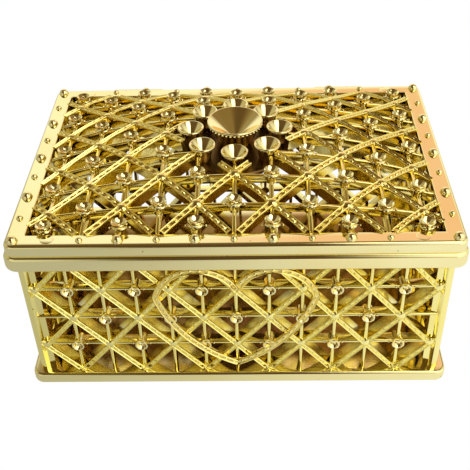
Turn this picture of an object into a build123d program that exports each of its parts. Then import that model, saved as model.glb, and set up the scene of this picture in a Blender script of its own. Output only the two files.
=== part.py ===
from build123d import *
import math
import os

# Openwork candy box with a hinged lid: millimetres, +Z up, front towards -Y.
# The origin is the centre of the face that the box rests on.

# Bottom plate
plate_length = 100.8
plate_width = 68.4
plate_thickness = 3.2
plate_corner = 2.6
plate_edge_round = 1.2

# Openwork walls, which stand between the plate and the base rim
wall_length = 96.8
wall_width = 65.2
wall_height = 33.2
wall_depth = 3.6
post_round = 1.4
wall_half_pitch = 7.6
wall_row_spacing = 8.73
wall_rib_width = 1.3
wall_rod_width = 0.75
rod_recess = 0.45
rod_depth = 2.7

# Studs at the rod crossings of the walls
wall_stud_radius = 1.55
wall_stud_rise = 0.55
wall_stud_slant = 0.15
wall_stud_cup_wall = 0.3
wall_stud_cup_depth = 0.75

# Heart on the front wall
heart_half_width = 18.2
heart_shoulder = 27.4
heart_lobe_top = 35.3
heart_dip = 29.7
heart_side_x = 11.9
heart_side_z = 15.1
heart_tip = 5.9
heart_rib_width = 1.4
heart_rise = 0.7
heart_stud_gap = 0.25

# Base rim
base_rim_length = 101.6
base_rim_width = 68.8
base_rim_height = 4.2
base_rim_corner = 3.2
base_rim_lower_round = 1.7
base_rim_upper_round = 1.2
base_rim_ledge = 0.7

# Lid frame: a flat border with a skirt that drops inside the base rim
parting_gap = 0.15
lid_length = 99.8
lid_width = 68.3
lid_height = 3.0
lid_corner = 2.2
lid_edge_round = 0.9
opening_length = 91.0
opening_width = 60.4
skirt_thickness = 0.7
skirt_clearance = 0.3

# Domed lid lattice, whose top is a crown that falls off to the border on all four sides
lid_row_pitch = 7.8
lid_rib_width = 1.5
lid_rib_depth = 3.6
lid_rod_width = 0.9
lid_rod_recess = 0.95
crown_base_rise = 0.2
crown_rise = 7.8
crown_reach_x = 46.6
crown_reach_y = 31.0

# Lid studs: small cups on bosses
lid_stud_radius = 1.8
lid_stud_rise = 0.85
lid_stud_below = 2.6
lid_stud_cup_depth = 0.9
lid_stud_cup_wall = 0.25
lid_edge_stud_y = 28.2

# Domed beads along the lid frame
bead_pitch_x = 16.7
bead_line_x = 47.9
bead_line_y = 32.2
bead_pitch_y = 8.05
large_bead_radius = 1.3
small_bead_radius = 0.8

# Rosette in the middle of the lid
hub_clearance = 0.3
hub_disc_height = 4.2
hub_disc_thickness = 0.9
petal_count = 8
petal_ring_radius = 10.55
petal_rim_radius = 3.15
petal_rim_height = 8.35
petal_foot_radius = 1.7
centre_rim_radius = 6.57
centre_rim_height = 10.1
centre_foot_radius = 3.9
cup_rim_thickness = 0.45
cup_collar_height = 1.1
cup_collar_step = 0.3
cup_floor = 0.8

# Hinge at the back: two sets of knuckles on pins
hinge_spacing = 56.0
knuckle_radius = 1.6
knuckle_bore_clearance = 0.06
pin_radius = 0.8
base_knuckle_length = 6.0
lid_knuckle_length = 3.2
knuckle_side_gap = 0.3
hinge_stand_off = 0.25
base_web_drop = 3.4
lid_web_rise = 1.6

# Heights that follow from the stack of pieces
wall_base_z = plate_thickness
wall_top_z = wall_base_z + wall_height
base_rim_top_z = wall_top_z + base_rim_height
lid_base_z = base_rim_top_z + parting_gap
lid_top_z = lid_base_z + lid_height
skirt_base_z = wall_top_z + base_rim_ledge + parting_gap
hinge_z = base_rim_top_z + parting_gap / 2

# Places that follow from the outlines
skirt_length = opening_length + 2 * skirt_thickness
skirt_width = opening_width + 2 * skirt_thickness
rim_opening_length = skirt_length + 2 * skirt_clearance
rim_opening_width = skirt_width + 2 * skirt_clearance
lid_half_pitch = bead_pitch_x / 2
hub_disc_radius = petal_ring_radius + petal_rim_radius + hub_clearance
panel_length = wall_length - 2 * wall_depth
panel_width = wall_width - 2 * wall_depth
hinge_y = max(base_rim_width, lid_width) / 2 + knuckle_radius + hinge_stand_off


def crown_z(x, y):
    """Height of the top of the lid's ribs above the resting face."""
    fall = (1 - (x / crown_reach_x) ** 2) * (1 - (y / crown_reach_y) ** 2)
    return lid_top_z + crown_base_rise + crown_rise * fall


def keep(name, piece):
    """Label a finished piece and write it out under its own name."""
    piece.label = name
    export_step(piece, f"parts/{name}.step")


os.makedirs("parts", exist_ok=True)

# Bottom plate, the solid floor of the box
with BuildPart() as bottom_plate:
    with BuildSketch():
        RectangleRounded(plate_length, plate_width, plate_corner)
    extrude(amount=plate_thickness)
    fillet(bottom_plate.faces().sort_by(Axis.Z)[-1].edges(), plate_edge_round)
keep("bottom_plate", bottom_plate.part)

# Corner posts, one at each corner between the panels
post_x = wall_length / 2 - wall_depth / 2
post_y = wall_width / 2 - wall_depth / 2
for side_name, side in (("left", -1), ("right", 1)):
    for end_name, end in (("front", -1), ("back", 1)):
        with BuildPart() as corner_post:
            with BuildSketch(Plane.XY.offset(wall_base_z)) as post_outline:
                with Locations((side * post_x, end * post_y)):
                    Rectangle(wall_depth, wall_depth)
                outer = post_outline.vertices().sort_by_distance((side * wall_length, end * wall_width))
                fillet(outer[0], post_round)
            extrude(amount=wall_height)
        keep(f"corner_post_{end_name}_{side_name}", corner_post.part)


def wall_columns(length):
    """How many half pitches fit between a panel's middle and its end."""
    return math.ceil(length / 2 / wall_half_pitch)


def wall_stud_places(length):
    """Stud centres of a panel, on the rod crossings between the diagonals."""
    reach = length / 2 - wall_stud_radius
    columns = range(-wall_columns(length), wall_columns(length) + 1)
    return [
        (k * wall_half_pitch, wall_base_z + row * wall_row_spacing)
        for row in (1, 2, 3)
        for k in columns
        if (k + row) % 2 == 0 and abs(k * wall_half_pitch) < reach
    ]


def wall_lattice(plane, length):
    """One openwork panel: crossed diagonal ribs in front, upright and level rods behind."""
    slope = math.degrees(math.atan2(wall_row_spacing, wall_half_pitch))
    columns = wall_columns(length)
    middle_z = wall_base_z + wall_height / 2
    run = 2 * wall_height / math.sin(math.radians(slope))
    lean = (middle_z - wall_base_z) / wall_row_spacing * wall_half_pitch
    reach = columns + math.ceil(wall_height / wall_row_spacing)
    odd_feet = [k * wall_half_pitch for k in range(-reach, reach + 1) if k % 2]
    with BuildPart() as panel:
        with BuildSketch(plane):
            with Locations(*[Location((x + lean, middle_z), slope) for x in odd_feet]):
                Rectangle(run, wall_rib_width)
            with Locations(*[Location((x - lean, middle_z), -slope) for x in odd_feet]):
                Rectangle(run, wall_rib_width)
            with Locations((0, middle_z)):
                Rectangle(length, wall_height, mode=Mode.INTERSECT)
            with Locations(*wall_stud_places(length)):
                Circle(wall_stud_radius, mode=Mode.SUBTRACT)
        extrude(amount=wall_depth)
        with BuildSketch(plane.offset(wall_depth - rod_recess - rod_depth)):
            with Locations(*[(k * wall_half_pitch, middle_z) for k in range(-columns, columns + 1)]):
                Rectangle(wall_rod_width, wall_height)
            with Locations(*[(0, wall_base_z + row * wall_row_spacing) for row in (1, 2, 3)]):
                Rectangle(length, wall_rod_width)
            with Locations((0, middle_z)):
                Rectangle(length, wall_height, mode=Mode.INTERSECT)
            with Locations(*wall_stud_places(length)):
                Circle(wall_stud_radius, mode=Mode.SUBTRACT)
        extrude(amount=rod_depth)
    return panel.part


def wall_studs(plane, length):
    """Round studs that join the rods, each standing out of the wall as a small cup."""
    with BuildPart() as studs:
        with BuildSketch(plane.offset(wall_depth - rod_recess - rod_depth)):
            with Locations(*wall_stud_places(length)):
                Circle(wall_stud_radius)
        extrude(amount=rod_recess + rod_depth)
        with BuildSketch(plane.offset(wall_depth)):
            with Locations(*wall_stud_places(length)):
                Circle(wall_stud_radius)
        extrude(amount=wall_stud_rise, taper=math.degrees(math.atan2(wall_stud_slant, wall_stud_rise)))
        rim_radius = wall_stud_radius - wall_stud_slant - wall_stud_cup_wall
        with Locations(plane.offset(wall_depth + wall_stud_rise)):
            with Locations(*wall_stud_places(length)):
                Cone(0, rim_radius, wall_stud_cup_depth, align=(Align.CENTER, Align.CENTER, Align.MAX),
                     mode=Mode.SUBTRACT)
    return studs.part


# The four openwork panels with their studs
panel_x = wall_length / 2 - wall_depth
panel_y = wall_width / 2 - wall_depth
panels = {
    "front": (Plane(origin=(0, -panel_y, 0), x_dir=(1, 0, 0), z_dir=(0, -1, 0)), panel_length),
    "back": (Plane(origin=(0, panel_y, 0), x_dir=(-1, 0, 0), z_dir=(0, 1, 0)), panel_length),
    "right": (Plane(origin=(panel_x, 0, 0), x_dir=(0, 1, 0), z_dir=(1, 0, 0)), panel_width),
    "left": (Plane(origin=(-panel_x, 0, 0), x_dir=(0, -1, 0), z_dir=(-1, 0, 0)), panel_width),
}
for name, (plane, length) in panels.items():
    keep(f"{name}_lattice", wall_lattice(plane, length))
    keep(f"{name}_studs", wall_studs(plane, length))

# Heart outline, a raised rib that lies on the front panel's diagonals
front_plane, front_length = panels["front"]
lobe_x = heart_half_width / 2
with BuildPart() as heart_outline:
    with BuildSketch(front_plane.offset(wall_depth)):
        with BuildLine() as right_half:
            shoulder = (heart_half_width, heart_shoulder)
            ThreePointArc((0, heart_dip), (lobe_x, heart_lobe_top), shoulder)
            ThreePointArc(shoulder, (heart_side_x, heart_side_z), (0, heart_tip))
            mirror(about=Plane.YZ)
        trace(line_width=heart_rib_width)
        with Locations(*wall_stud_places(front_length)):
            Circle(wall_stud_radius + heart_stud_gap, mode=Mode.SUBTRACT)
    extrude(amount=heart_rise)
keep("heart_outline", heart_outline.part)

# Base rim, which ties the tops of the panels: a ledge over the walls and a mouth for the lid's skirt
with BuildPart() as base_rim:
    with BuildSketch(Plane.XY.offset(wall_top_z)):
        RectangleRounded(base_rim_length, base_rim_width, base_rim_corner)
    extrude(amount=base_rim_height)
    fillet(base_rim.faces().group_by(Axis.Z)[0].edges(), base_rim_lower_round)
    fillet(base_rim.faces().group_by(Axis.Z)[-1].edges(), base_rim_upper_round)
    with BuildSketch(Plane.XY.offset(wall_top_z)):
        Rectangle(panel_length, panel_width)
    extrude(amount=base_rim_ledge, mode=Mode.SUBTRACT)
    with BuildSketch(Plane.XY.offset(wall_top_z + base_rim_ledge)):
        Rectangle(rim_opening_length, rim_opening_width)
    extrude(amount=base_rim_height - base_rim_ledge, mode=Mode.SUBTRACT)
keep("base_rim", base_rim.part)

# Lid frame: a flat border with a skirt round its opening
with BuildPart() as lid_frame:
    with BuildSketch(Plane.XY.offset(lid_base_z)):
        RectangleRounded(lid_length, lid_width, lid_corner)
    extrude(amount=lid_height)
    fillet(lid_frame.faces().sort_by(Axis.Z)[-1].edges(), lid_edge_round)
    with BuildSketch(Plane.XY.offset(skirt_base_z)):
        Rectangle(skirt_length, skirt_width)
    extrude(amount=lid_base_z - skirt_base_z)
    with BuildSketch(Plane.XY.offset(skirt_base_z)):
        Rectangle(opening_length, opening_width)
    extrude(amount=lid_top_z - skirt_base_z, mode=Mode.SUBTRACT)
keep("lid_frame", lid_frame.part)


def lid_stud_places():
    """Stud centres of the lid: rod crossings clear of the rosette, and a row along each long edge."""
    columns = math.floor((opening_length / 2 - lid_stud_radius) / lid_half_pitch)
    rows = math.floor((opening_width / 2 - lid_stud_radius) / lid_row_pitch)
    inner = [
        (k * lid_half_pitch, row * lid_row_pitch)
        for row in range(-rows, rows + 1)
        for k in range(-columns, columns + 1)
        if (k + row) % 2 and math.hypot(k * lid_half_pitch, row * lid_row_pitch) > hub_disc_radius
    ]
    edge = [
        (k * lid_half_pitch, end * lid_edge_stud_y)
        for end in (-1, 1)
        for k in range(-columns, columns + 1)
        if (k + rows) % 2 == 0
    ]
    return inner + edge


def crown_slab(top_offset, depth):
    """Domed slab under the crown: the face is a square patch of degree two each way."""
    half_x, half_y = opening_length / 2, opening_width / 2
    bulge_x, bulge_y = (half_x / crown_reach_x) ** 2, (half_y / crown_reach_y) ** 2
    base = lid_top_z + crown_base_rise - top_offset
    corners = [
        [
            (x, y, base + crown_rise * fall_x * fall_y)
            for y, fall_y in ((-half_y, 1 - bulge_y), (0, 1 + bulge_y), (half_y, 1 - bulge_y))
        ]
        for x, fall_x in ((-half_x, 1 - bulge_x), (0, 1 + bulge_x), (half_x, 1 - bulge_x))
    ]
    with BuildPart() as slab:
        extrude(Face.make_bezier_surface(corners), amount=depth, dir=(0, 0, -1))
        with BuildSketch(Plane.XY.offset(skirt_base_z)):
            Rectangle(opening_length, opening_width)
        extrude(amount=crown_z(0, 0) - skirt_base_z, mode=Mode.INTERSECT)
    return slab.part


# Lid lattice: diagonal ribs that follow the crown, and rods a little below them
lid_slope = math.degrees(math.atan2(lid_row_pitch, lid_half_pitch))
lid_run = 2 * (opening_width + opening_length)
lid_reach = math.ceil((opening_length / lid_half_pitch + opening_width / lid_row_pitch) / 4)
even_columns = [2 * k * lid_half_pitch for k in range(-lid_reach, lid_reach + 1)]
rod_columns = math.floor(opening_length / 2 / lid_half_pitch)
rod_rows = math.floor(opening_width / 2 / lid_row_pitch)
lattice_height = crown_z(0, 0) - skirt_base_z
with BuildPart() as lid_lattice:
    with BuildSketch(Plane.XY.offset(skirt_base_z)):
        with Locations(*[Location((x, 0), lid_slope) for x in even_columns]):
            Rectangle(lid_run, lid_rib_width)
        with Locations(*[Location((x, 0), -lid_slope) for x in even_columns]):
            Rectangle(lid_run, lid_rib_width)
        Rectangle(opening_length, opening_width, mode=Mode.INTERSECT)
        with Locations(*lid_stud_places()):
            Circle(lid_stud_radius, mode=Mode.SUBTRACT)
        Circle(hub_disc_radius, mode=Mode.SUBTRACT)
    extrude(amount=lattice_height)
    add(crown_slab(0, lid_rib_depth), mode=Mode.INTERSECT)
with BuildPart() as lid_rods:
    with BuildSketch(Plane.XY.offset(skirt_base_z)):
        with Locations(*[(k * lid_half_pitch, 0) for k in range(-rod_columns, rod_columns + 1)]):
            Rectangle(lid_rod_width, opening_width)
        with Locations(*[(0, row * lid_row_pitch) for row in range(-rod_rows, rod_rows + 1)]):
            Rectangle(opening_length, lid_rod_width)
        with Locations(*lid_stud_places()):
            Circle(lid_stud_radius, mode=Mode.SUBTRACT)
        Circle(hub_disc_radius, mode=Mode.SUBTRACT)
    extrude(amount=lattice_height)
    add(crown_slab(lid_rod_recess, lid_rib_depth - lid_rod_recess), mode=Mode.INTERSECT)
with BuildPart() as lid_openwork:
    add(lid_lattice.part)
    add(lid_rods.part)
keep("lid_lattice", lid_openwork.part)

# Lid studs: little cups whose bosses join the rods
with BuildPart() as lid_studs:
    for x, y in lid_stud_places():
        rim_z = crown_z(x, y) + lid_stud_rise
        foot_z = max(crown_z(x, y) - lid_stud_below, skirt_base_z)
        with BuildSketch(Plane.XY.offset(foot_z)):
            with Locations((x, y)):
                Circle(lid_stud_radius)
        extrude(amount=rim_z - foot_z)
        with Locations((x, y, rim_z - lid_stud_cup_depth)):
            Cone(0, lid_stud_radius - lid_stud_cup_wall, lid_stud_cup_depth,
                 align=(Align.CENTER, Align.CENTER, Align.MIN), mode=Mode.SUBTRACT)
keep("lid_studs", lid_studs.part)

# Beads along the lid frame, large and small by turns
half_bead_x = bead_pitch_x / 2
corner_beads = [(sx * bead_line_x, sy * bead_line_y) for sx in (-1, 1) for sy in (-1, 1)]
large_row = [(k * half_bead_x, sy * bead_line_y) for k in (-3, -1, 1, 3) for sy in (-1, 1)]
small_row = [(k * half_bead_x, sy * bead_line_y) for k in (-4, -2, 0, 2, 4) for sy in (-1, 1)]
large_side = [(sx * bead_line_x, k * bead_pitch_y) for k in (-2, 0, 2) for sx in (-1, 1)]
small_side = [(sx * bead_line_x, k * bead_pitch_y) for k in (-3, -1, 1, 3) for sx in (-1, 1)]
with BuildPart() as large_beads:
    with Locations(*[(x, y, lid_top_z) for x, y in corner_beads + large_row + large_side]):
        Sphere(large_bead_radius, arc_size1=0, align=(Align.CENTER, Align.CENTER, Align.MIN))
keep("large_beads", large_beads.part)
with BuildPart() as small_beads:
    with Locations(*[(x, y, lid_top_z) for x, y in small_row + small_side]):
        Sphere(small_bead_radius, arc_size1=0, align=(Align.CENTER, Align.CENTER, Align.MIN))
keep("small_beads", small_beads.part)

# Rosette hub: a disc that fills the round gap in the lattice and carries the cups
hub_disc_z = lid_top_z + hub_disc_height
with BuildPart() as rosette_hub:
    with BuildSketch(Plane.XY.offset(hub_disc_z - hub_disc_thickness)):
        Circle(hub_disc_radius)
    extrude(amount=hub_disc_thickness)
keep("rosette_hub", rosette_hub.part)


def cup_profile(rim_radius, rim_z, foot_radius):
    """Half section of a cup: a thin rim over a stepped collar, a tapering body and a conical hollow."""
    collar_radius = rim_radius - cup_collar_step
    with BuildSketch(Plane.XZ) as half:
        with BuildLine():
            Polyline(
                (0, hub_disc_z),
                (foot_radius, hub_disc_z),
                (collar_radius, rim_z - cup_rim_thickness - cup_collar_height),
                (collar_radius, rim_z - cup_rim_thickness),
                (rim_radius, rim_z - cup_rim_thickness),
                (rim_radius, rim_z),
                (rim_radius - cup_rim_thickness, rim_z),
                (0, hub_disc_z + cup_floor),
                close=True,
            )
        make_face()
    return half.sketch


# Centre cup and the ring of petal cups round it
with BuildPart() as centre_cup:
    add(cup_profile(centre_rim_radius, lid_top_z + centre_rim_height, centre_foot_radius))
    revolve(axis=Axis.Z)
keep("centre_cup", centre_cup.part)
with BuildPart() as petal_cup:
    add(cup_profile(petal_rim_radius, lid_top_z + petal_rim_height, petal_foot_radius))
    revolve(axis=Axis.Z)
for number in range(petal_count):
    with BuildPart() as placed_cup:
        with PolarLocations(petal_ring_radius, 1, start_angle=number * 360 / petal_count):
            add(petal_cup.part)
    keep(f"petal_cup_{number + 1}", placed_cup.part)


def knuckle(x, length, web_height, foot_y):
    """A bored barrel on the hinge axis with a web that reaches the rim at foot_y."""
    with BuildPart() as barrel:
        with BuildSketch(Plane.YZ.offset(x - length / 2)):
            with Locations((hinge_y, hinge_z)):
                Circle(knuckle_radius)
            with Locations(((foot_y + hinge_y) / 2, hinge_z + web_height / 2)):
                Rectangle(hinge_y - foot_y, abs(web_height))
            with Locations((hinge_y, hinge_z)):
                Circle(pin_radius + knuckle_bore_clearance, mode=Mode.SUBTRACT)
        extrude(amount=length)
    return barrel.part


# Hinges: one knuckle of the base between two of the lid, on a pin that is fast in the base
outer_offset = (base_knuckle_length + lid_knuckle_length) / 2 + knuckle_side_gap
pin_length = base_knuckle_length + 2 * (lid_knuckle_length + knuckle_side_gap)
for side_name, side in (("left", -1), ("right", 1)):
    hinge_x = side * hinge_spacing / 2
    keep(f"base_knuckle_{side_name}",
         knuckle(hinge_x, base_knuckle_length, -base_web_drop, base_rim_width / 2))
    with BuildPart() as lid_knuckles:
        for x in (hinge_x - outer_offset, hinge_x + outer_offset):
            add(knuckle(x, lid_knuckle_length, lid_web_rise, lid_width / 2))
    keep(f"lid_knuckles_{side_name}", lid_knuckles.part)
    with BuildPart() as hinge_pin:
        with Locations((hinge_x, hinge_y, hinge_z)):
            Cylinder(pin_radius, pin_length, rotation=(0, 90, 0))
    keep(f"hinge_pin_{side_name}", hinge_pin.part)
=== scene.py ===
import bmesh
import bpy
import numpy as np
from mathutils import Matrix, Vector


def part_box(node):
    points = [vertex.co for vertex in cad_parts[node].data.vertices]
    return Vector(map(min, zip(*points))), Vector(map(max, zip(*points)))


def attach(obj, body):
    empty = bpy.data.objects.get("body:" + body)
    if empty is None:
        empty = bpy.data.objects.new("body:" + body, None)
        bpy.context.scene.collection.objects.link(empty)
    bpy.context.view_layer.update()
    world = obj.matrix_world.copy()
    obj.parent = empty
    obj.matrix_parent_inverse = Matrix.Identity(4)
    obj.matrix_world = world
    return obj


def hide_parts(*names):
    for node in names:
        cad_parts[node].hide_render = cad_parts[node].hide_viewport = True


# Openwork candy box in gold-plated plastic. Metres, +Z up, front towards -Y, hinge at the back.

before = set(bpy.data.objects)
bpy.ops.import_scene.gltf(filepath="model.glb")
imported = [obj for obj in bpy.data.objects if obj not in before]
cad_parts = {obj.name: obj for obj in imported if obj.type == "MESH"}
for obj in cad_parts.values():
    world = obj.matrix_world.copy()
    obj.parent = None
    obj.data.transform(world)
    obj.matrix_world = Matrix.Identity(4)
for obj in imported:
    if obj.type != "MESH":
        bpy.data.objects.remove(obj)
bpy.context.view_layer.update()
mm = 0.001
print("frame loaded:", len(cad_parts), "nodes")

# camera: place and turn solved from the beads of the lid frame and the crossings of the front wall
camera = {"place": (0.00472, -0.16787, 0.15441), "turn": (0.8916067, 0.0241691, 0.0134998), "lens": 62.745}
cameraData = bpy.data.cameras.new("camera")
cameraData.lens = camera["lens"]
cameraData.sensor_width = 36.0
cameraData.clip_start = 0.005
cameraObject = bpy.data.objects.new("camera", cameraData)
cameraObject.location = camera["place"]
cameraObject.rotation_euler = camera["turn"]
bpy.context.scene.collection.objects.link(cameraObject)
bpy.context.scene.camera = cameraObject
bpy.context.scene.view_settings.view_transform = "Standard"


# grid of quads over rows x cols points, row by row, closed round either way if asked
def gridFaces(rows, cols, closeRows=False, closeCols=False):
    r = np.arange(rows if closeRows else rows - 1)
    c = np.arange(cols if closeCols else cols - 1)
    rr, cc = np.meshgrid(r, c, indexing="ij")
    r2, c2 = (rr + 1) % rows, (cc + 1) % cols
    return np.stack([rr * cols + cc, rr * cols + c2, r2 * cols + c2, r2 * cols + cc], -1).reshape(-1, 4)


# a closed profile carried along a path: point = path + across * side + depth * out;
# the profile is one loop of (across, depth), or one loop for each point of the path
def carry(path, side, out, profile, closed=False):
    n, m = len(path), profile.shape[-2]
    loops = np.broadcast_to(profile, (n, m, 2))
    verts = path[:, None] + loops[..., :1] * side[:, None] + loops[..., 1:] * out[:, None]
    faces = [gridFaces(n, m, closed, True)]
    if not closed:
        faces += [np.arange(m)[None, ::-1], (np.arange(m) + (n - 1) * m)[None]]
    return verts.reshape(-1, 3), faces


# a half section of (radius, height) turned about Z; a radius of zero at either end becomes one pole point
def lathe(section, segments):
    section = np.asarray(section, float)
    top, bottom = section[0, 0] == 0, section[-1, 0] == 0
    ring = section[int(top):len(section) - int(bottom)]
    angle = np.arange(segments) * 2 * np.pi / segments
    body = np.stack(np.broadcast_arrays(
        ring[:, :1] * np.cos(angle), ring[:, :1] * np.sin(angle), ring[:, 1:]), -1).reshape(-1, 3)
    faces = [gridFaces(len(ring), segments, False, True)]
    here, after = np.arange(segments), (np.arange(segments) + 1) % segments
    poles = []
    if top:
        faces.append(np.stack([here * 0 + len(body), after, here], -1))
        poles.append([0, 0, section[0, 1]])
    if bottom:
        last = (len(ring) - 1) * segments
        faces.append(np.stack([here * 0 + len(body) + len(poles), last + here, last + after], -1))
        poles.append([0, 0, section[-1, 1]])
    return np.concatenate([body, np.array(poles, float).reshape(-1, 3)]), faces


# copies of one shape, turned so that its X, Y, Z run along the given axes, one at each centre
def copies(shape, centres, axes=None):
    verts, faces = shape
    centres = np.asarray(centres, float).reshape(-1, 3)
    turned = np.broadcast_to(verts, (len(centres), *verts.shape))
    if axes is not None:
        turns = np.broadcast_to(np.asarray(axes, float), (len(centres), 3, 3))
        turned = np.einsum("nkj,ik->nij", turns, verts)
    steps = np.arange(len(centres)) * len(verts)
    return (turned + centres[:, None]).reshape(-1, 3), [
        (f[None] + steps[:, None, None]).reshape(-1, f.shape[1]) for f in faces]


# several shapes in one, still as whole arrays
def joined(shapes):
    steps = np.cumsum([0] + [len(s[0]) for s in shapes])
    return np.concatenate([s[0] for s in shapes]), [f + step for s, step in zip(shapes, steps) for f in s[1]]


# edges sharper than these angles in degrees stay sharp
edgeAngle = {"plain": 35.0, "lattice": 42.0, "posts": 30.0, "studs": 20.0}


# a finished piece: millimetres in, metres out, smooth but for edges sharper than the angle
def piece(name, shape, body, nodes, material, sharp=edgeAngle["plain"]):
    verts, faces = shape
    mesh = bpy.data.meshes.new(name)
    sizes = np.concatenate([np.full(len(f), f.shape[1]) for f in faces])
    corners = np.concatenate([f.ravel() for f in faces])
    mesh.vertices.add(len(verts))
    mesh.vertices.foreach_set("co", (verts * mm).astype(np.float32).ravel())
    mesh.loops.add(len(corners))
    mesh.loops.foreach_set("vertex_index", corners.astype(np.int32))
    mesh.polygons.add(len(sizes))
    mesh.polygons.foreach_set("loop_start", (np.cumsum(sizes) - sizes).astype(np.int32))
    mesh.update(calc_edges=True)
    work = bmesh.new()
    work.from_mesh(mesh)
    bmesh.ops.recalc_face_normals(work, faces=work.faces)
    work.to_mesh(mesh)
    work.free()
    mesh.shade_smooth()
    mesh.set_sharp_from_angle(angle=np.radians(sharp))
    mesh.materials.append(material)
    made = bpy.data.objects.new(name, mesh)
    bpy.context.scene.collection.objects.link(made)
    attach(made, body)
    if nodes:
        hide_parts(*nodes)
    return made


# painted shade inside the base: a brown colour stands in for the shade inside the box; how far behind the
# outer faces of the walls the painted shade starts and is full, and the heights over which it fades in from
# the floor of the box, in metres
paintedInsideShade = {"halfX": 0.0484, "halfY": 0.0326, "starts": 0.0012, "full": 0.0050, "floor": (0.0012, 0.0026),
          "colour": (0.25, 0.14, 0.035, 1.0)}


# share of painted brown shade, from the depth behind the nearest outer face = min(halfX - |x|, halfY - |y|)
def insideShadeShare(nodes, links, place):
    apart = nodes.new("ShaderNodeSeparateXYZ")
    links.new(place.outputs["Object"], apart.inputs["Vector"])
    depths = []
    for axis, half in (("X", paintedInsideShade["halfX"]), ("Y", paintedInsideShade["halfY"])):
        size = nodes.new("ShaderNodeMath")
        size.operation = "ABSOLUTE"
        depth = nodes.new("ShaderNodeMath")
        depth.operation = "SUBTRACT"
        depth.inputs[0].default_value = half
        links.new(apart.outputs[axis], size.inputs[0])
        links.new(size.outputs["Value"], depth.inputs[1])
        depths.append(depth)
    nearest = nodes.new("ShaderNodeMath")
    nearest.operation = "MINIMUM"
    links.new(depths[0].outputs["Value"], nearest.inputs[0])
    links.new(depths[1].outputs["Value"], nearest.inputs[1])
    share = nodes.new("ShaderNodeMapRange")
    share.interpolation_type = "SMOOTHSTEP"
    share.inputs["From Min"].default_value = paintedInsideShade["starts"]
    share.inputs["From Max"].default_value = paintedInsideShade["full"]
    links.new(nearest.outputs["Value"], share.inputs["Value"])
    above = nodes.new("ShaderNodeMapRange")
    above.inputs["From Min"].default_value = paintedInsideShade["floor"][0]
    above.inputs["From Max"].default_value = paintedInsideShade["floor"][1]
    links.new(apart.outputs["Z"], above.inputs["Value"])
    both = nodes.new("ShaderNodeMath")
    both.operation = "MULTIPLY"
    links.new(share.outputs["Result"], both.inputs[0])
    links.new(above.outputs["Result"], both.inputs[1])
    return both.outputs["Value"]


# electroplated gold: a mirror with slow tint drift, faint ripple of the moulding and rare dark specks
def plating(name, pale, deep, rough, ripple, withInsideShade=False):
    material = bpy.data.materials.new(name)
    material.use_nodes = True
    nodes, links = material.node_tree.nodes, material.node_tree.links
    shader = nodes["Principled BSDF"]
    shader.inputs["Metallic"].default_value = 1.0
    shader.inputs["Specular Tint"].default_value = (1.0, 0.96, 0.8, 1.0)
    place = nodes.new("ShaderNodeTexCoord")
    drift = nodes.new("ShaderNodeTexNoise")
    drift.inputs["Scale"].default_value = 45.0
    drift.inputs["Detail"].default_value = 3.0
    tint = nodes.new("ShaderNodeValToRGB")
    tint.color_ramp.elements[0].position = 0.34
    tint.color_ramp.elements[0].color = (*deep, 1.0)
    tint.color_ramp.elements[1].position = 0.62
    tint.color_ramp.elements[1].color = (*pale, 1.0)
    speck = nodes.new("ShaderNodeTexNoise")
    speck.inputs["Scale"].default_value = 900.0
    speck.inputs["Detail"].default_value = 1.0
    speckCut = nodes.new("ShaderNodeMapRange")
    speckCut.inputs["From Min"].default_value = 0.77
    speckCut.inputs["From Max"].default_value = 0.83
    spotted = nodes.new("ShaderNodeMix")
    spotted.data_type = "RGBA"
    spotted.inputs["B"].default_value = (0.20, 0.12, 0.04, 1.0)
    roughness = nodes.new("ShaderNodeMapRange")
    roughness.inputs["To Min"].default_value = rough * 0.6
    roughness.inputs["To Max"].default_value = rough * 1.6
    wave = nodes.new("ShaderNodeTexNoise")
    wave.inputs["Scale"].default_value = 260.0
    wave.inputs["Detail"].default_value = 2.0
    bump = nodes.new("ShaderNodeBump")
    bump.inputs["Strength"].default_value = ripple
    bump.inputs["Distance"].default_value = 0.0002
    for texture in (drift, speck, wave):
        links.new(place.outputs["Object"], texture.inputs["Vector"])
    links.new(drift.outputs["Fac"], tint.inputs["Fac"])
    links.new(speck.outputs["Fac"], speckCut.inputs["Value"])
    links.new(speckCut.outputs["Result"], spotted.inputs["Factor"])
    links.new(tint.outputs["Color"], spotted.inputs["A"])
    last = spotted.outputs["Result"]
    # painted shade: inside the box the gold is mixed towards brown, standing in for the shade there
    if withInsideShade:
        insideShaded = nodes.new("ShaderNodeMix")
        insideShaded.data_type = "RGBA"
        insideShaded.inputs["B"].default_value = paintedInsideShade["colour"]
        links.new(insideShadeShare(nodes, links, place), insideShaded.inputs["Factor"])
        links.new(last, insideShaded.inputs["A"])
        last = insideShaded.outputs["Result"]
    links.new(last, shader.inputs["Base Color"])
    links.new(drift.outputs["Fac"], roughness.inputs["Value"])
    links.new(roughness.outputs["Result"], shader.inputs["Roughness"])
    links.new(wave.outputs["Fac"], bump.inputs["Height"])
    links.new(bump.outputs["Normal"], shader.inputs["Normal"])
    return material


rimGold = plating("rimGold", (0.94, 0.85, 0.43), (0.92, 0.80, 0.37), 0.08, 0.04)
latticeGold = plating("latticeGold", (0.98, 0.84, 0.33), (0.94, 0.77, 0.25), 0.09, 0.18)
# the walls and the plate take the painted brown shade inside the box
wallGold = plating("wallGold", (1.0, 0.90, 0.36), (0.97, 0.84, 0.27), 0.09, 0.18, withInsideShade=True)
plateGold = plating("plateGold", (0.94, 0.85, 0.42), (0.92, 0.80, 0.36), 0.10, 0.06, withInsideShade=True)
studGold = plating("studGold", (0.96, 0.85, 0.44), (0.92, 0.79, 0.36), 0.06, 0.08)
cupGold = plating("cupGold", (0.95, 0.83, 0.42), (0.92, 0.77, 0.34), 0.05, 0.04)
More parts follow.
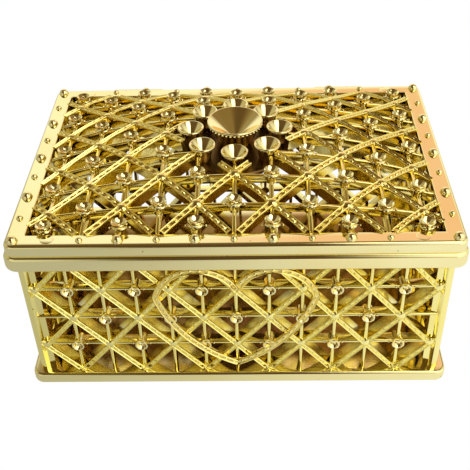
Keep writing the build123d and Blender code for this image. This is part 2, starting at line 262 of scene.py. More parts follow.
# painted shade: near-black brown gold for the rosette disc, which lies in deep shade between the cups
shadedRecessGold = plating("shadedRecessGold", (0.16, 0.09, 0.03), (0.10, 0.05, 0.015), 0.25, 0.10)
pinGold = plating("pinGold", (0.85, 0.70, 0.32), (0.80, 0.62, 0.26), 0.22, 0.15)
print("materials made")


# levels of the box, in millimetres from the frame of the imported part
def span(node):
    low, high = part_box(node)
    return np.array(low) / mm, np.array(high) / mm


plateLow, plateHigh = span("bottom_plate")
rimLow, rimHigh = span("base_rim")
frontLow, frontHigh = span("front_lattice")
lidHigh = span("lid_frame")[1]
rightHigh = span("right_lattice")[1]
latticeX, latticeY = span("lid_lattice")[1][:2]
partingGap = 0.15
lidTop = lidHigh[2]
lidBase = rimHigh[2] + partingGap
wallBase, wallTop = frontLow[2], frontHigh[2]


# points of an arc about (cx, cy) from angle a to angle b, in degrees
def arc(cx, cy, radius, a, b, steps=6):
    t = np.radians(np.linspace(a, b, steps))
    return np.stack([cx + radius * np.cos(t), cy + radius * np.sin(t)], -1)


# loop round a rectangle with round corners: corner centre + radius * (cos, sin), quarter by quarter
def roundedLoop(halfX, halfY, radius, cornerSteps=8):
    quarter = np.linspace(0, np.pi / 2, cornerSteps)
    angles = np.concatenate([quarter + k * np.pi / 2 for k in range(4)])
    signs = np.repeat([[1, 1], [-1, 1], [-1, -1], [1, -1]], cornerSteps, axis=0)
    return signs * [halfX - radius, halfY - radius] + radius * np.stack([np.cos(angles), np.sin(angles)], -1)


# a frame round a rectangle: each row of the section is (loop, offset, height), where loop 0 is the outer
# outline and the later ones are inner, and the offset grows the outline and its corner radius alike
def frameRing(outlines, section, closed=True, leastRadius=0.02):
    rows = []
    for which, offset, height in section:
        halfX, halfY, radius = outlines[int(which)]
        flat = roundedLoop(halfX + offset, halfY + offset, max(radius + offset, leastRadius))
        rows.append(np.concatenate([flat, np.full((len(flat), 1), height)], 1))
    rows = np.array(rows)
    faces = [gridFaces(len(rows), rows.shape[1], closed, True)]
    if not closed:
        cap = np.arange(rows.shape[1])[None]
        faces += [cap, cap + (len(rows) - 1) * rows.shape[1]]
    return rows.reshape(-1, 3), faces


# rows of a section: an arc in (offset, height) with the number of the loop put before it
def onLoop(which, points):
    points = np.asarray(points, float).reshape(-1, 2)
    return np.concatenate([np.full((len(points), 1), which), points], 1)


# rounded lower edge of the outer outline, from the given level up
def lowerEdge(radius, level, steps=6):
    return onLoop(0, arc(-radius, level + radius, radius, -90, 0, steps))


# rounded upper edge of the outer outline, up to the given level
def upperEdge(radius, level, steps=6):
    return onLoop(0, arc(-radius, level - radius, radius, 0, 90, steps))


# bottom plate: a slab with a bullnose edge
plate = {"corner": 2.6, "topRound": 0.75, "bottomRound": 0.8}
piece("floor_plate", frameRing([(plateHigh[0], plateHigh[1], plate["corner"])], np.concatenate([
    lowerEdge(plate["bottomRound"], plateLow[2]),
    upperEdge(plate["topRound"], plateHigh[2]),
]), closed=False), "base", ["bottom_plate"], plateGold)

# base rim: a bullnose with a narrow land at the parting line, a mouth for the skirt with a small bevel, and
# a ledge over the walls; the seat is what the mouth and the skirt of the lid share
baseRim = {
    "corner": 3.2, "lowerRound": 0.9, "upperRound": 1.5, "upperReach": 1.15, "ledge": 0.7, "bevel": 0.1}
seat = {"skirt": 0.7, "clearance": 0.3, "gap": 0.15, "corner": 0.3}
skirtX, skirtY = latticeX + seat["skirt"], latticeY + seat["skirt"]
ledgeZ = rimLow[2] + baseRim["ledge"]
shoulder = arc(0, 0, 1, 0, 90, 8) * [baseRim["upperReach"], baseRim["upperRound"]]
piece("base_rim_ring", frameRing([
    (rimHigh[0], rimHigh[1], baseRim["corner"]),
    (skirtX + seat["clearance"], skirtY + seat["clearance"], seat["corner"]),
    (frontHigh[0], rightHigh[1], seat["corner"]),
], np.concatenate([
    onLoop(2, [[0, rimLow[2]]]),
    lowerEdge(baseRim["lowerRound"], rimLow[2], 7),
    onLoop(0, shoulder + [-baseRim["upperReach"], rimHigh[2] - baseRim["upperRound"]]),
    onLoop(1, [[0, rimHigh[2] - baseRim["bevel"]], [0, ledgeZ]]),
    onLoop(2, [[0, ledgeZ]]),
])), "base", ["base_rim"], rimGold)
print("plate and base rim made")

# lid frame: flat border with a round outer edge, and a skirt round its opening
lidFrame = {"corner": 2.2, "topRound": 0.9, "bottomRound": 0.35, "innerRound": 0.2}
skirtZ = ledgeZ + seat["gap"]
inner = lidFrame["innerRound"]
piece("lid_border", frameRing([
    (lidHigh[0], lidHigh[1], lidFrame["corner"]),
    (latticeX, latticeY, seat["corner"]),
], np.concatenate([
    onLoop(1, [[0, skirtZ], [seat["skirt"], skirtZ], [seat["skirt"], lidBase]]),
    lowerEdge(lidFrame["bottomRound"], lidBase, 4),
    upperEdge(lidFrame["topRound"], lidTop, 7),
    onLoop(1, arc(inner, lidTop - inner, inner, 90, 180, 4)),
])), "lid", ["lid_frame"], rimGold)

# round ejector marks on the long sides of the border, a hair proud, just inside the rounded outer edge
marks = {"x": 40.4, "inset": 2.4, "radius": 1.5, "bevel": 0.12, "rise": 0.04, "sink": 0.02, "segments": 40}
disc = lathe([[0, marks["rise"]], [marks["radius"] - marks["bevel"], marks["rise"]],
              [marks["radius"], 0], [0, -marks["sink"]]], marks["segments"])
markSpots = [(a * marks["x"], b * (lidHigh[1] - marks["inset"]), lidTop) for a in (-1, 1) for b in (-1, 1)]
piece("border_marks", copies(disc, markSpots), "lid", [], rimGold)
print("lid border made")

# ladder rib: two rails with a channel between them; the channel floor swells to a round bump at each pitch
rib = {"bumpPitch": 2.1, "bumpHeight": 0.42, "step": 0.3, "shortest": 0.6, "underlap": 0.03}
rodStep = 0.5


# section of the rib of a given width and depth, as (across, depth, share of the bump): half and its mirror
def ribSection(width, depth):
    half = width / 2
    right = np.array([
        [half * 0.90, -depth, 0], [half * 0.99, -0.60, 0], [half, -0.32, 0], [half * 0.91, -0.10, 0],
        [half * 0.76, 0, 0], [half * 0.60, -0.07, 0], [half * 0.48, -0.26, 0], [half * 0.38, -0.42, 0.2],
        [half * 0.14, -0.45, 1]])
    return np.concatenate([right, right[::-1] * [-1, 1, 1]])


# the rib along a path with distances s: floor height = section + share * bumpHeight * cos(pi s / pitch)^4
def ladder(path, side, out, s, width, depth, closed=False):
    section = ribSection(width, depth)
    bump = rib["bumpHeight"] * np.cos(np.pi * s / rib["bumpPitch"]) ** 4
    loops = np.broadcast_to(section[None, :, :2], (len(s), len(section), 2)).copy()
    loops[..., 1] += section[None, :, 2] * bump[:, None]
    return carry(path, side, out, loops, closed)


# rod with a rounded front; its width swells where ribs cross and narrows at the studs
def rod(path, side, out, swell, width, depth):
    across = np.array([-1, -1, -0.82, -0.42, 0, 0.42, 0.82, 1, 1]) * width / 2
    height = np.array([-depth, -0.34, -0.14, -0.03, 0, -0.03, -0.14, -0.34, -depth])
    loops = np.stack(np.broadcast_arrays(across[None] * swell[:, None], height[None]), -1)
    return carry(path, side, out, loops)


# both families of diagonals on a panel, u = foot +- (v - v0) * run / rise, cut to |u| <= halfU and v0..v1
def diagonals(halfU, v0, v1, run, rise, feet):
    runs = []
    for slope in (run / rise, -run / rise):
        ends = np.sort(v0 + np.stack([-halfU - feet, halfU - feet]) / slope, axis=0)
        low, high = np.maximum(ends[0], v0), np.minimum(ends[1], v1)
        kept = high - low > rib["shortest"]
        a = np.stack([feet + slope * (low - v0), low], -1)[kept]
        b = np.stack([feet + slope * (high - v0), high], -1)[kept]
        runs += [(p, q, slope > 0) for p, q in zip(a, b)]
    return runs


# openwork walls; ribs and rods run a little into the plate and the rim, and over the posts; the level rods
# are narrower and set deeper than the upright ones, by a factor each
wall = {
    "halfPitch": 7.6, "rowSpacing": 8.73, "rows": (1, 2, 3), "ribWidth": 1.35, "ribDepth": 3.55,
    "ribOverrun": 0.4, "rodWidth": 0.85, "rodRecess": 0.42, "rodDepth": 2.7, "rodOverrun": 0.3,
    "levelWidth": 0.92, "levelRecess": 1.1, "levelThinner": 0.1, "waist": 0.14, "overPost": 2.0,
    "studReach": 1.55, "facetDrop": 0.22, "dotReach": 2.05, "dotRadius": 0.3, "dotSink": 0.5}
wallPlanes = {
    "front": (frontHigh[0], np.array([0, frontLow[1], 0]), np.array([1.0, 0, 0]), np.array([0, -1.0, 0])),
    "back": (frontHigh[0], np.array([0, -frontLow[1], 0]), np.array([-1.0, 0, 0]), np.array([0, 1.0, 0])),
    "right": (rightHigh[1], np.array([rightHigh[0], 0, 0]), np.array([0, 1.0, 0]), np.array([1.0, 0, 0])),
    "left": (rightHigh[1], np.array([-rightHigh[0], 0, 0]), np.array([0, -1.0, 0]), np.array([-1.0, 0, 0]))}
up = np.array([0, 0, 1.0])


# centres (u, v) on the rows of a wall whose column + row is even (studs) or odd (crossings)
def wallPlaces(halfU, parity, reach):
    count = int(np.ceil(halfU / wall["halfPitch"]))
    k, row = np.meshgrid(np.arange(-count, count + 1), wall["rows"])
    kept = ((k + row) % 2 == parity) & (np.abs(k * wall["halfPitch"]) < halfU - reach)
    return np.stack([k[kept] * wall["halfPitch"], wallBase + row[kept] * wall["rowSpacing"]], -1)


# a small bead: half a ball, drawn in below to a foot half a radius deep
def bead(radius, segments=8):
    t = np.linspace(0, np.pi / 2, 4)
    dome = np.stack([radius * np.sin(t), radius * np.cos(t)], -1)
    return lathe(np.concatenate([dome, [[radius * 0.7, -radius * 0.5], [0, -radius * 0.5]]]), segments)


# stud of a wall as (radius, height): boss behind, round rim, and a hollow whose facets alternate in depth
studSection = np.array([
    [0, -3.1], [1.2, -3.1], [1.25, -0.45], [1.5, -0.2], [1.55, 0.2], [1.46, 0.46], [1.3, 0.54], [1.12, 0.5],
    [1.0, 0.3], [0.62, -0.06], [0.2, -0.18], [0, -0.19]])


# stud turned from a section with a pole at either end; in its hollow, every second point of the last ring
# but one drops by the given depth
def facetedStud(section, drop, segments=16):
    verts, faces = lathe(section, segments)
    first = (len(section) - 4) * segments
    verts[first:first + segments:2, 2] -= drop
    return verts, faces


for side, (halfU, origin, along, out) in wallPlanes.items():
    count = int(np.ceil(halfU / wall["halfPitch"]))
    columns = np.arange(-count - 5, count + 6)
    feet = columns[columns % 2 != 0] * wall["halfPitch"]
    shapes = []
    wide = halfU + wall["overPost"]
    ribLow, ribHigh = wallBase - wall["ribOverrun"], wallTop + wall["ribOverrun"]
    for p, q, rising in diagonals(wide, ribLow, ribHigh, wall["halfPitch"], wall["rowSpacing"], feet):
        length = np.hypot(*(q - p))
        n = max(int(length / rib["step"]), 2)
        flat = p + (q - p) * np.linspace(0, 1, n)[:, None]
        tangent = (q - p) / length
        normal = np.array([-tangent[1], tangent[0]])
        lift = 0.0 if rising else -rib["underlap"]
        path = origin + flat[:, :1] * along + flat[:, 1:] * up + out * lift
        across = np.broadcast_to(normal[0] * along + normal[1] * up, path.shape)
        start = (p[1] - wallBase) / tangent[1]
        s = start + np.linspace(0, length, n)
        shapes.append(ladder(path, across, np.broadcast_to(out, path.shape), s, wall["ribWidth"],
                             wall["ribDepth"] + lift))
    for k in range(-count, count + 1):
        u = k * wall["halfPitch"]
        if abs(u) > halfU - wall["rodOverrun"]:
            continue
        v = np.arange(wallBase - wall["rodOverrun"], wallTop + wall["rodOverrun"], rodStep)
        swell = 1 - wall["waist"] * np.cos(np.pi * ((v - wallBase) / wall["rowSpacing"] + k))
        path = origin + u * along + v[:, None] * up - out * wall["rodRecess"]
        shapes.append(rod(path, np.broadcast_to(along, path.shape), np.broadcast_to(out, path.shape), swell,
                          wall["rodWidth"], wall["rodDepth"]))
    for row in wall["rows"]:
        u = np.linspace(-wide, wide, 2 * int(wide / rodStep) + 1)
        swell = 1 - wall["waist"] * np.cos(np.pi * (u / wall["halfPitch"] + row))
        rodLevel = wallBase + row * wall["rowSpacing"]
        path = origin + u[:, None] * along + rodLevel * up - out * wall["rodRecess"] * wall["levelRecess"]
        shapes.append(rod(path, np.broadcast_to(up, path.shape), np.broadcast_to(out, path.shape), swell,
                          wall["rodWidth"] * wall["levelWidth"], wall["rodDepth"] - wall["levelThinner"]))
    turn = np.stack([along, np.cross(out, along), out])
    crossings = wallPlaces(wide, 1, wall["rodOverrun"])
    knot = lathe([[0, 0.12], [0.35, 0.1], [0.7, -0.02], [1.15, -0.3], [1.0, -1.2], [0, -1.2]], 16)
    shapes.append(copies(knot, origin + crossings[:, :1] * along + crossings[:, 1:] * up, turn))
    piece(f"{side}_openwork", joined(shapes), "base", [f"{side}_lattice"], wallGold,
          edgeAngle["lattice"])
    places = wallPlaces(halfU, 0, wall["studReach"])
    stud = facetedStud(studSection, wall["facetDrop"])
    spots = origin + places[:, :1] * along + places[:, 1:] * up
    reach = wall["dotReach"]
    dots = np.concatenate([spots + step - out * wall["dotSink"] for step in (
        reach * along, -reach * along, reach * up, -reach * up)])
    cups = joined([copies(stud, spots, turn), copies(bead(wall["dotRadius"]), dots, turn)])
    piece(f"{side}_stud_cups", cups, "base", [f"{side}_studs"], studGold, edgeAngle["studs"])
print("walls made")

# corner posts: a slim round bar at the very corner and, behind the ribs, a slanted pad that joins both
# walls; the plan is the bar, one side of the post, its inner corner and the same side mirrored
post = {"bar": 1.55, "round": 1.1, "sink": 0.85, "slope": 0.25, "slant": 0.7, "size": 3.6}
flank = np.array([
    [post["bar"], 0], [post["bar"] + post["slant"], post["sink"]],
    [post["size"], post["sink"] + post["slope"]]])
nose = arc(post["round"], post["round"], post["round"], 180, 270)
plan = np.concatenate([nose, flank, [[post["size"]] * 2], flank[::-1, ::-1]])
for name, sx, sy in (
        ("front_left", -1, -1), ("front_right", 1, -1), ("back_left", -1, 1), ("back_right", 1, 1)):
    corner = np.array([[sx * rightHigh[0], -sy * frontLow[1], level] for level in (wallBase, wallTop)])
    inward = np.tile([[-sx, 0, 0]], (2, 1)), np.tile([[0, -sy, 0]], (2, 1))
    piece(f"post_{name}", carry(corner, *inward, plan), "base", [f"corner_post_{name}"],
          wallGold, edgeAngle["posts"])
print("posts made")

# heart on the front wall: two lobes and two long arcs, carried as a wider ladder rib proud of the wall
heart = {"half": 18.2, "shoulder": 27.4, "lobeTop": 35.3, "dip": 29.7, "side": (11.9, 15.1), "tip": 5.9,
         "width": 1.6, "rise": 0.68, "depth": 1.1}


# points of the circle arc from a to c through b, by its centre and the angles of the three points
def arcThrough(a, b, c, steps):
    a, b, c = (np.asarray(p, float) for p in (a, b, c))
    centre = np.linalg.solve(2 * np.stack([b - a, c - a]), [b @ b - a @ a, c @ c - a @ a])
    first, middle, last = (np.arctan2(*(p - centre)[::-1]) for p in (a, b, c))
    sweep = (last - first) % (2 * np.pi)
    sweep -= 2 * np.pi * ((middle - first) % (2 * np.pi) > sweep)
    t = first + np.linspace(0, sweep, steps)
    return centre + np.hypot(*(a - centre)) * np.stack([np.cos(t), np.sin(t)], -1)


widest = (heart["half"], heart["shoulder"])
right = np.concatenate([
    arcThrough((0, heart["dip"]), (heart["half"] / 2, heart["lobeTop"]), widest, 90)[:-1],
    arcThrough(widest, heart["side"], (0, heart["tip"]), 110)])
outline = np.concatenate([right, (right * [-1, 1])[::-1][1:-1]])
tangents = np.roll(outline, -1, 0) - np.roll(outline, 1, 0)
tangents /= np.hypot(*tangents.T)[:, None]
distance = np.concatenate([[0], np.cumsum(np.hypot(*np.diff(outline, axis=0).T))])
_, origin, along, out = wallPlanes["front"]
heartPath = origin + outline[:, :1] * along + outline[:, 1:] * up + out * heart["rise"]
heartSide = -tangents[:, 1:] * along + tangents[:, :1] * up
heartRib = ladder(heartPath, heartSide, np.broadcast_to(out, heartPath.shape), distance, heart["width"],
                  heart["depth"], closed=True)
piece("heart_rib", heartRib, "base", ["heart_outline"], latticeGold, edgeAngle["lattice"])
print("heart made")

# domed lid lattice: the crown falls off as a parabola to the border on all four sides; the rods along x are
# narrower and set deeper than those along y, by a factor each
lid = {
    "halfPitch": 8.35, "rowPitch": 7.8, "columns": 5, "rows": 3, "baseRise": 0.2, "rise": 7.8,
    "reachX": 46.6, "reachY": 31.0, "ribWidth": 1.55, "ribDepth": 3.5, "rodWidth": 0.95, "rodRecess": 0.85,
    "rodDepth": 2.6, "levelWidth": 0.92, "levelRecess": 1.08, "levelThinner": 0.1, "waist": 0.14,
    "knotInset": 0.5, "studInset": 1.8, "edgeStudY": 28.2, "hubHole": 12.9, "studClear": 14.0}
lidColumns = np.arange(-lid["columns"], lid["columns"] + 1)
lidRows = np.arange(-lid["rows"], lid["rows"] + 1)


# share of the crown's rise that is left at a distance from the middle = 1 - (distance / reach)^2
def falloff(distance, reach):
    return 1 - (distance / reach) ** 2


# crown height = top + base rise + rise * (1 - (x/reachX)^2) * (1 - (y/reachY)^2)
def crown(x, y):
    return lidTop + lid["baseRise"] + lid["rise"] * falloff(x, lid["reachX"]) * falloff(y, lid["reachY"])


# outward normal of the crown, from its two slopes
def crownNormal(x, y):
    slopeX = -2 * x / lid["reachX"] ** 2 * lid["rise"] * falloff(y, lid["reachY"])
    slopeY = -2 * y / lid["reachY"] ** 2 * lid["rise"] * falloff(x, lid["reachX"])
    normal = np.stack([-slopeX, -slopeY, np.ones_like(slopeX)], -1)
    return normal / np.linalg.norm(normal, axis=-1, keepdims=True)


# path on the crown from plan point p to q, with its side, outward direction and distance from p
def overCrown(p, q, step, drop=0.0):
    n = max(int(np.hypot(*(q - p)) / step), 2)
    flat = p + (q - p) * np.linspace(0, 1, n)[:, None]
    normal = crownNormal(flat[:, 0], flat[:, 1])
    path = np.concatenate([flat, crown(flat[:, 0], flat[:, 1])[:, None]], 1) - normal * drop
    tangent = np.gradient(path, axis=0)
    side = np.cross(normal, tangent)
    side /= np.linalg.norm(side, axis=1)[:, None]
    s = np.concatenate([[0], np.cumsum(np.linalg.norm(np.diff(path, axis=0), axis=1))])
    return path, side, normal, s


# the parts of the straight line p to q that lie outside the round gap of the rosette
def outsideHub(p, q):
    length = np.hypot(*(q - p))
    tangent = (q - p) / length
    middle = -p @ tangent
    room = lid["hubHole"] ** 2 - (p @ p - middle ** 2)
    if room <= 0 or middle < 0 or middle > length:
        return [(p, q)]
    half = np.sqrt(room)
    return [(p, p + tangent * (middle - half)), (p + tangent * (middle + half), q)]


shapes = []
reachColumns = int(np.ceil(latticeX / lid["halfPitch"] + latticeY / lid["rowPitch"])) + 2
columns = np.arange(-reachColumns, reachColumns + 1)
for slope in (1, -1):
    for foot in columns[columns % 2 == 0] * lid["halfPitch"]:
        ratio = slope * lid["halfPitch"] / lid["rowPitch"]
        ends = np.sort([(-latticeX - foot) / ratio, (latticeX - foot) / ratio])
        low, high = max(ends[0], -latticeY), min(ends[1], latticeY)
        if high - low < rib["shortest"]:
            continue
        start, end = np.array([foot + ratio * low, low]), np.array([foot + ratio * high, high])
        for p, q in outsideHub(start, end):
            path, sideways, normal, s = overCrown(p, q, rib["step"], 0.0 if slope > 0 else rib["underlap"])
            s = s + np.hypot(*(p - [foot, 0]))
            shapes.append(ladder(path, sideways, normal, s, lid["ribWidth"], lid["ribDepth"]))
for k in lidColumns:
    x = k * lid["halfPitch"]
    for p, q in outsideHub(np.array([x, -latticeY]), np.array([x, latticeY])):
        path, sideways, normal, _ = overCrown(p, q, rodStep, lid["rodRecess"])
        swell = 1 - lid["waist"] * np.cos(np.pi * (path[:, 1] / lid["rowPitch"] + k + 1))
        shapes.append(rod(path, sideways, normal, swell, lid["rodWidth"], lid["rodDepth"]))
for row in lidRows:
    y = row * lid["rowPitch"]
    for p, q in outsideHub(np.array([-latticeX, y]), np.array([latticeX, y])):
        path, sideways, normal, _ = overCrown(p, q, rodStep, lid["rodRecess"] * lid["levelRecess"])
        swell = 1 - lid["waist"] * np.cos(np.pi * (path[:, 0] / lid["halfPitch"] + row + 1))
        shapes.append(rod(path, sideways, normal, swell, lid["rodWidth"] * lid["levelWidth"],
                          lid["rodDepth"] - lid["levelThinner"]))


# axes (x, y, normal) of the crown at plan points
def crownAxes(places):
    normal = crownNormal(places[:, 0], places[:, 1])
    east = np.cross([0, 1.0, 0], normal)
    east /= np.linalg.norm(east, axis=1)[:, None]
    return np.stack([east, np.cross(normal, east), normal], 1)


# plan points lifted to the crown
def onCrown(places):
    return np.concatenate([places, crown(*places.T)[:, None]], 1)


# places of the lid's crossings (column + row even) and studs (odd), clear of the rosette
def lidPlaces(parity, halfReach):
    k, row = np.meshgrid(lidColumns, lidRows)
    places = np.stack([k * lid["halfPitch"], row * lid["rowPitch"]], -1)
    kept = ((k + row) % 2 == parity) & (np.abs(places[..., 0]) < halfReach)
    return places[kept & (np.hypot(places[..., 0], places[..., 1]) > lid["studClear"])]


crossings = lidPlaces(0, latticeX - lid["knotInset"])
knot = lathe([[0, 0.14], [0.4, 0.12], [0.8, -0.02], [1.3, -0.34], [1.1, -1.4], [0, -1.4]], 16)
shapes.append(copies(knot, onCrown(crossings), crownAxes(crossings)))
piece("lid_openwork", joined(shapes), "lid", ["lid_lattice"], latticeGold,
      edgeAngle["lattice"])
print("lid openwork made")

# lid studs: faceted cups on flared bosses, with a ring of crumbs under the rim and four dots round the foot
trim = {"facetDrop": 0.14, "crumbs": 8, "crumbReach": 1.66, "crumbDrop": 0.42, "crumbRadius": 0.26,
        "dotReach": 2.25, "dotDrop": 0.92, "dotRadius": 0.32, "dotInset": 0.4}
edgeColumns = lidColumns[lidColumns % 2 != 0]
edge = np.array([(k * lid["halfPitch"], end * lid["edgeStudY"]) for end in (-1, 1) for k in edgeColumns])
places = np.concatenate([lidPlaces(1, latticeX - lid["studInset"]), edge])
lidStudSection = np.array([
    [0, -2.55], [1.15, -2.55], [1.2, -1.15], [1.6, -0.75], [1.72, -0.45], [1.5, -0.2], [1.42, 0.1],
    [1.62, 0.4], [1.78, 0.62], [1.78, 0.76], [1.66, 0.84], [1.5, 0.76], [0.9, 0.32], [0.25, -0.06],
    [0, -0.08]])
spots = onCrown(places)
stud = facetedStud(lidStudSection, trim["facetDrop"])
ring = (np.arange(trim["crumbs"]) + 0.5) * 2 * np.pi / trim["crumbs"]
around = np.stack([
    trim["crumbReach"] * np.cos(ring), trim["crumbReach"] * np.sin(ring), 0 * ring - trim["crumbDrop"]], -1)
crumbs = (spots[:, None] + around).reshape(-1, 3)
steps = trim["dotReach"] * np.array([[1, 0], [-1, 0], [0, 1], [0, -1]])
dots = np.concatenate([onCrown(places + step) - [0, 0, trim["dotDrop"]] for step in steps])
room = np.array([latticeX, latticeY]) - trim["dotInset"]
dots = dots[(np.abs(dots[:, :2]) < room).all(1)]
crumb, dot = bead(trim["crumbRadius"], 6), bead(trim["dotRadius"])
cups = joined([copies(stud, spots), copies(crumb, crumbs), copies(dot, dots)])
piece("lid_stud_cups", cups, "lid", ["lid_studs"], studGold, edgeAngle["studs"])
print("lid studs made")

# beads along the border, large and small by turns, each on a low collar
border = {"halfPitchX": 8.35, "lineX": 47.9, "lineY": 32.2, "halfPitchY": 8.05, "large": 1.3, "small": 0.8}
ends = np.array([-1, 1])


# places on the long rows and the short rows, as numbers of half pitches from the middle
def borderPlaces(longSteps, shortSteps):
    longRows = [(k * border["halfPitchX"], s * border["lineY"]) for k in longSteps for s in ends]
    shortRows = [(s * border["lineX"], k * border["halfPitchY"]) for k in shortSteps for s in ends]
    return np.array([(x, y, lidTop) for x, y in longRows + shortRows])


# bead of the border: half a ball, drawn in a little, on a low collar
def borderBead(radius, segments):
    t = np.linspace(0, np.pi / 2, 7)
    ball = np.stack([radius * 0.94 * np.sin(t), radius * np.cos(t)], -1)
    collar = [[radius * 0.96, 0.12], [radius, 0.03], [radius, -0.12], [0, -0.12]]
    return lathe(np.concatenate([ball, collar]), segments)


cornerSpots = np.array([(a * border["lineX"], b * border["lineY"], lidTop) for a in ends for b in ends])
piece("large_border_beads", copies(borderBead(border["large"], 28), np.concatenate([
    cornerSpots, borderPlaces((-3, -1, 1, 3), (-2, 0, 2))])), "lid", ["large_beads"], studGold)
piece("small_border_beads", copies(borderBead(border["small"], 22), borderPlaces(
    (-4, -2, 0, 2, 4), (-3, -1, 1, 3))), "lid", ["small_beads"], studGold)
print("border beads made")

# rosette: a round disc in the gap of the lattice, painted dark brown for the shade between the cups, one
# wide cup and eight small ones
rosette = {"disc": 14.0, "discHeight": 4.2, "discThickness": 0.9, "topBevel": 0.3, "underBevel": 0.2,
           "petals": 8, "ring": 10.55, "petalRim": 3.15, "petalHeight": 8.35, "petalFoot": 1.7,
           "centreRim": 6.57, "centreHeight": 10.1, "centreFoot": 3.9, "floor": 0.8,
           "lip": 0.3, "overhang": 0.32, "grainLevel": 0.62}
discTop = lidTop + rosette["discHeight"]
discBase = discTop - rosette["discThickness"]
discEdge, above, below = rosette["disc"], rosette["topBevel"], rosette["underBevel"]
# the disc takes the painted dark shade
piece("rosette_disc", lathe([
    [0, discTop], [discEdge - above, discTop], [discEdge, discTop - above], [discEdge, discBase + below],
    [discEdge - below, discBase], [0, discBase]], 96), "lid", ["rosette_hub"], shadedRecessGold)


# cup: foot, flared body, collar with a ring of grains at a share of its height, thin round lip that
# overhangs the body, and a plain conical hollow
def cup(rimRadius, rimZ, footRadius, collar, grain, grainCount, segments):
    body, lip = rimRadius - rosette["overhang"], rosette["lip"]
    section = np.concatenate([
        [[0, discTop], [footRadius, discTop], [footRadius + 0.12, discTop + 0.15],
         [body - 0.55, rimZ - collar - 0.35], [body - 0.1, rimZ - collar], [body, rimZ - collar + 0.2],
         [body, rimZ - 0.5]],
        arc(rimRadius - lip, rimZ - lip, lip, -75, 120, 10),
        [[0.35, discTop + rosette["floor"] + 0.1], [0, discTop + rosette["floor"]]]])
    around = np.arange(grainCount) * 2 * np.pi / grainCount
    level = rimZ - collar * rosette["grainLevel"]
    grains = np.stack([body * np.cos(around), body * np.sin(around), 0 * around + level], -1)
    ball = lathe(grain * np.array([[0, 1], [0.7, 0.7], [1, 0], [0.7, -0.7], [0, -1]]), 8)
    return joined([lathe(section, segments), copies(ball, grains)])


centreBowl = cup(
    rosette["centreRim"], lidTop + rosette["centreHeight"], rosette["centreFoot"],
    collar=1.3, grain=0.3, grainCount=40, segments=128)
piece("centre_bowl", centreBowl, "lid", ["centre_cup"], cupGold)
petal = cup(
    rosette["petalRim"], lidTop + rosette["petalHeight"], rosette["petalFoot"],
    collar=0.95, grain=0.2, grainCount=24, segments=72)
for number in range(rosette["petals"]):
    turn = number * 2 * np.pi / rosette["petals"]
    centre = [rosette["ring"] * np.cos(turn), rosette["ring"] * np.sin(turn), 0]
    piece(f"petal_bowl_{number + 1}", copies(petal, [centre]), "lid", [f"petal_cup_{number + 1}"],
          cupGold)
print("rosette made")

# solids that keep their own shape and take a finish only
finishes = {
    "base_knuckle_left": rimGold, "base_knuckle_right": rimGold, "lid_knuckles_left": rimGold,
    "lid_knuckles_right": rimGold, "hinge_pin_left": pinGold, "hinge_pin_right": pinGold}
for name, material in finishes.items():
    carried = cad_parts[name]
    carried.data.materials.clear()
    carried.data.materials.append(material)
print("carried solids finished")

# floor: white to the camera; in reflections it glows with painted light, dimmed by painted shade on the left
# and near white on the right; plain and pale to the light
stage = {"half": 1.6, "level": -0.0004, "colour": (0.80, 0.80, 0.80, 1.0), "paintedShadeToLight": (0.52, 0.98),
         "from": -0.06, "to": 0.07}
floorMesh = bpy.data.meshes.new("floor")
floorMesh.from_pydata([
    (a * stage["half"], b * stage["half"], stage["level"]) for a, b in ((-1, -1), (1, -1), (1, 1), (-1, 1))],
    [], [(0, 1, 2, 3)])
floor = bpy.data.objects.new("floor", floorMesh)
bpy.context.scene.collection.objects.link(floor)
floorMaterial = bpy.data.materials.new("floorWhite")
floorMaterial.use_nodes = True
nodes, links = floorMaterial.node_tree.nodes, floorMaterial.node_tree.links
nodes["Principled BSDF"].inputs["Base Color"].default_value = stage["colour"]
nodes["Principled BSDF"].inputs["Roughness"].default_value = 0.9
rays = nodes.new("ShaderNodeLightPath")
place = nodes.new("ShaderNodeTexCoord")
apart = nodes.new("ShaderNodeSeparateXYZ")
# painted shade and light in reflections: glow strength graded from the left to the right of the floor
across = nodes.new("ShaderNodeMapRange")
across.interpolation_type = "SMOOTHSTEP"
across.inputs["From Min"].default_value = stage["from"]
across.inputs["From Max"].default_value = stage["to"]
across.inputs["To Min"].default_value = stage["paintedShadeToLight"][0]
across.inputs["To Max"].default_value = stage["paintedShadeToLight"][1]
level = nodes.new("ShaderNodeMix")
level.inputs["B"].default_value = 1.0
glow = nodes.new("ShaderNodeEmission")
seen = nodes.new("ShaderNodeMath")
seen.operation = "MAXIMUM"
blend = nodes.new("ShaderNodeMixShader")
links.new(place.outputs["Object"], apart.inputs["Vector"])
links.new(apart.outputs["X"], across.inputs["Value"])
links.new(rays.outputs["Is Camera Ray"], level.inputs["Factor"])
links.new(across.outputs["Result"], level.inputs["A"])
links.new(level.outputs["Result"], glow.inputs["Strength"])
links.new(rays.outputs["Is Glossy Ray"], seen.inputs[0])
links.new(rays.outputs["Is Camera Ray"], seen.inputs[1])
links.new(seen.outputs["Value"], blend.inputs["Fac"])
links.new(nodes["Principled BSDF"].outputs["BSDF"], blend.inputs[1])
links.new(glow.outputs["Emission"], blend.inputs[2])
links.new(blend.outputs["Shader"], nodes["Material Output"].inputs["Surface"])
floorMesh.materials.append(floorMaterial)

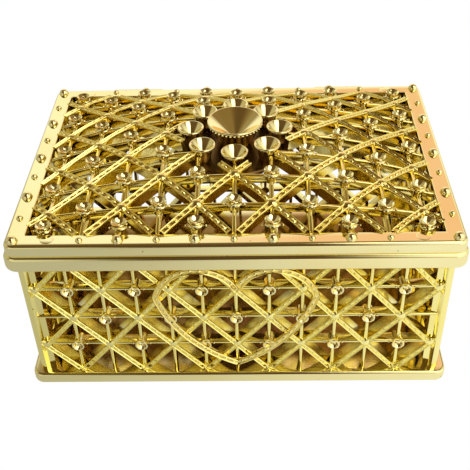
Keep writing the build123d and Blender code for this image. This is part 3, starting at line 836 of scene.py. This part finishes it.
# studio round the box: a brown room with soft cards, each (direction, inner and outer angle, colour)
cards = [
    ((0.95, 0.05, 0.35), 18, 42, (0.95, 0.95, 0.82)),
    ((-0.92, 0.20, 0.35), 18, 40, (0.55, 0.52, 0.36)),
    ((0.00, 0.93, 0.25), 30, 46, (1.10, 1.10, 1.08)),
    ((0.22, 0.74, 0.63), 9, 20, (1.00, 0.66, 0.52)),
    ((-0.30, -0.30, 0.90), 20, 36, (0.13, 0.08, 0.035)),
    ((-0.25, -0.85, 0.45), 26, 42, (0.10, 0.06, 0.025)),
    ((0.75, -0.55, 0.35), 28, 44, (1.35, 1.33, 1.22)),
    ((-0.55, -0.70, 0.10), 14, 30, (0.80, 0.80, 0.66)),
    ((0.36, -0.30, 0.88), 12, 18, (2.60, 2.55, 2.40)),
]
world = bpy.data.worlds.new("studio")
bpy.context.scene.world = world
world.use_nodes = True
nodes, links = world.node_tree.nodes, world.node_tree.links
direction = nodes.new("ShaderNodeTexCoord")
room = nodes.new("ShaderNodeRGB")
room.outputs[0].default_value = (0.26, 0.18, 0.08, 1.0)
last = room.outputs[0]
for aim, innerAngle, outerAngle, colour in cards:
    facing = nodes.new("ShaderNodeVectorMath")
    facing.operation = "DOT_PRODUCT"
    facing.inputs[1].default_value = np.array(aim) / np.linalg.norm(aim)
    mask = nodes.new("ShaderNodeMapRange")
    mask.interpolation_type = "SMOOTHSTEP"
    mask.inputs["From Min"].default_value = np.cos(np.radians(outerAngle))
    mask.inputs["From Max"].default_value = np.cos(np.radians(innerAngle))
    mixed = nodes.new("ShaderNodeMix")
    mixed.data_type = "RGBA"
    mixed.inputs["B"].default_value = (*colour, 1.0)
    links.new(direction.outputs["Generated"], facing.inputs[0])
    links.new(facing.outputs["Value"], mask.inputs["Value"])
    links.new(mask.outputs["Result"], mixed.inputs["Factor"])
    links.new(last, mixed.inputs["A"])
    last = mixed.outputs["Result"]
links.new(last, nodes["Background"].inputs["Color"])
nodes["Background"].inputs["Strength"].default_value = 1.0
print("studio made")
